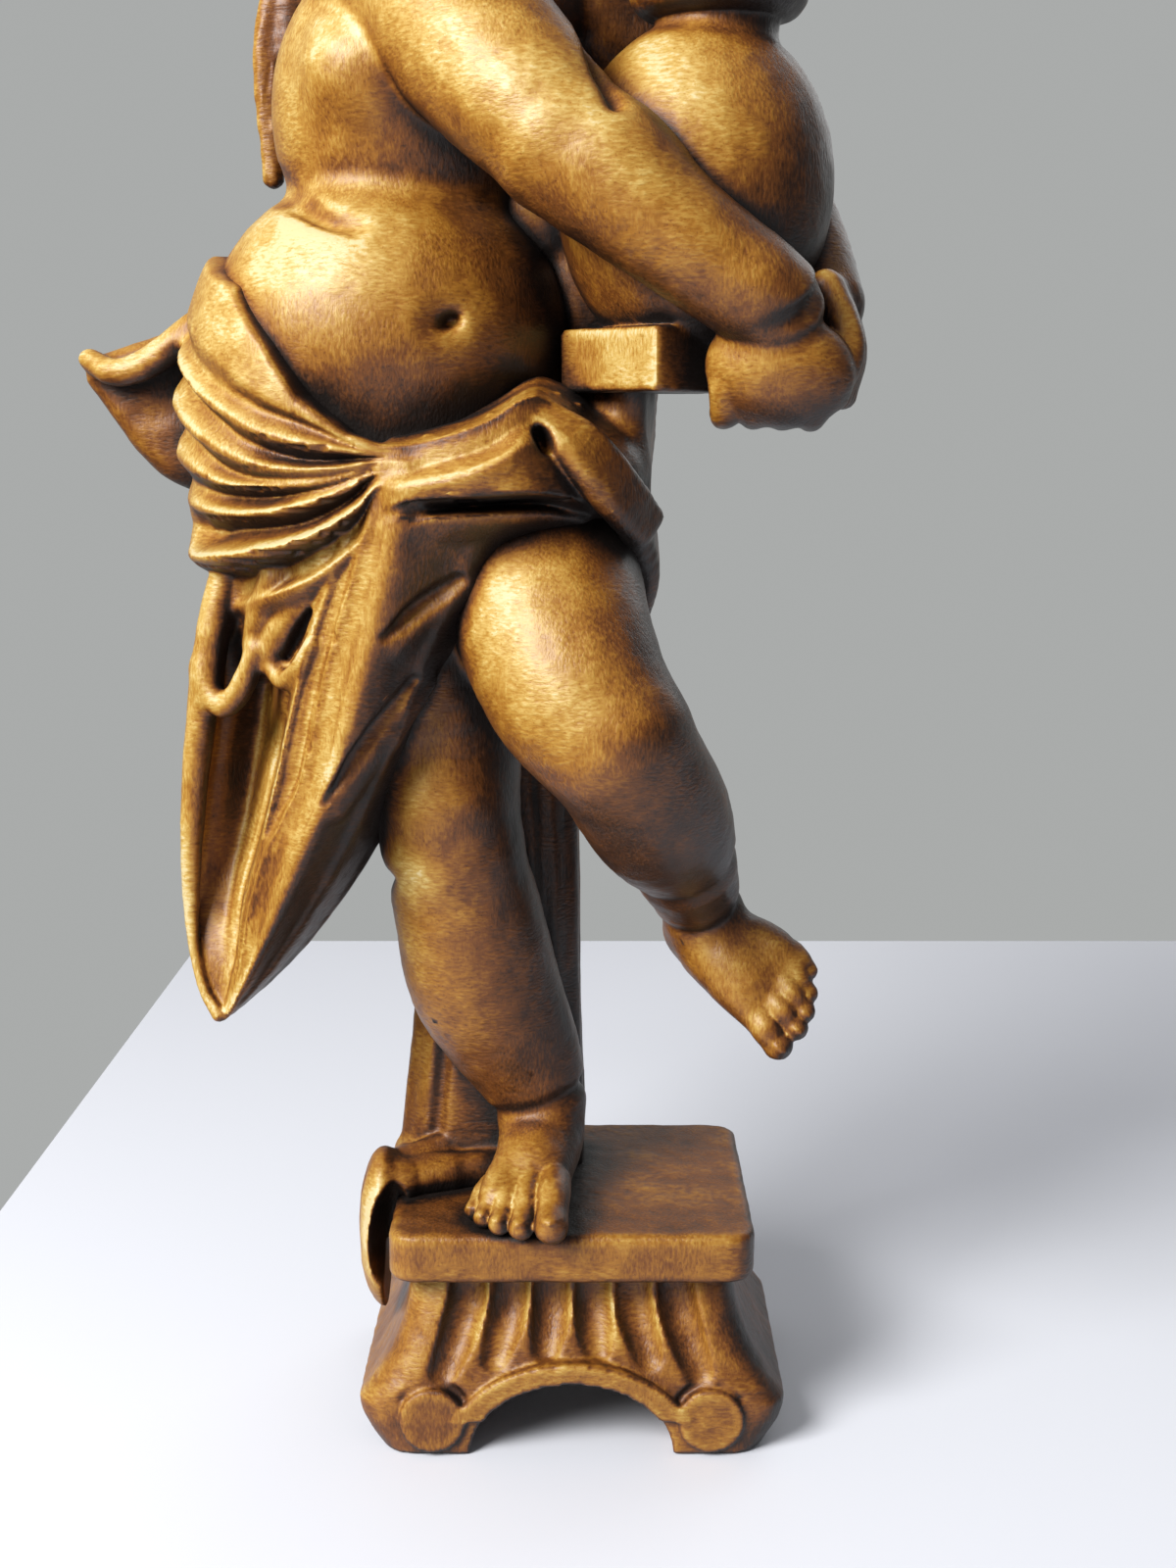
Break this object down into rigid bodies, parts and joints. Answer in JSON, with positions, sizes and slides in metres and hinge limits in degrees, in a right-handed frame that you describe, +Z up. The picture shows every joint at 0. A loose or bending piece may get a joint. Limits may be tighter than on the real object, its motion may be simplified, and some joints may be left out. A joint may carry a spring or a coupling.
{
  "type": "carved wooden angel statue",
  "caption": "Carved wooden child angel with small wings, draped cloth and an urn in its arms, stepping on one foot on a slab over a fluted scroll base.",
  "frame": {"origin": "on the floor under the middle of the whole statue's box", "axes": "+Z up, the front of the base looks towards -Y, +X is on the right of someone looking at the front"},
  "size_m": [0.1787, 0.117, 0.4191],
  "materials": {
    "stained_limewood": "brown stain rubbed back on the high places, waxed to a satin gloss"
  },
  "bodies": {
    "root": {"base": "stained_limewood", "figure": "stained_limewood", "wing_right": "stained_limewood", "wing_left": "stained_limewood"}
  },
  "joints": []
}
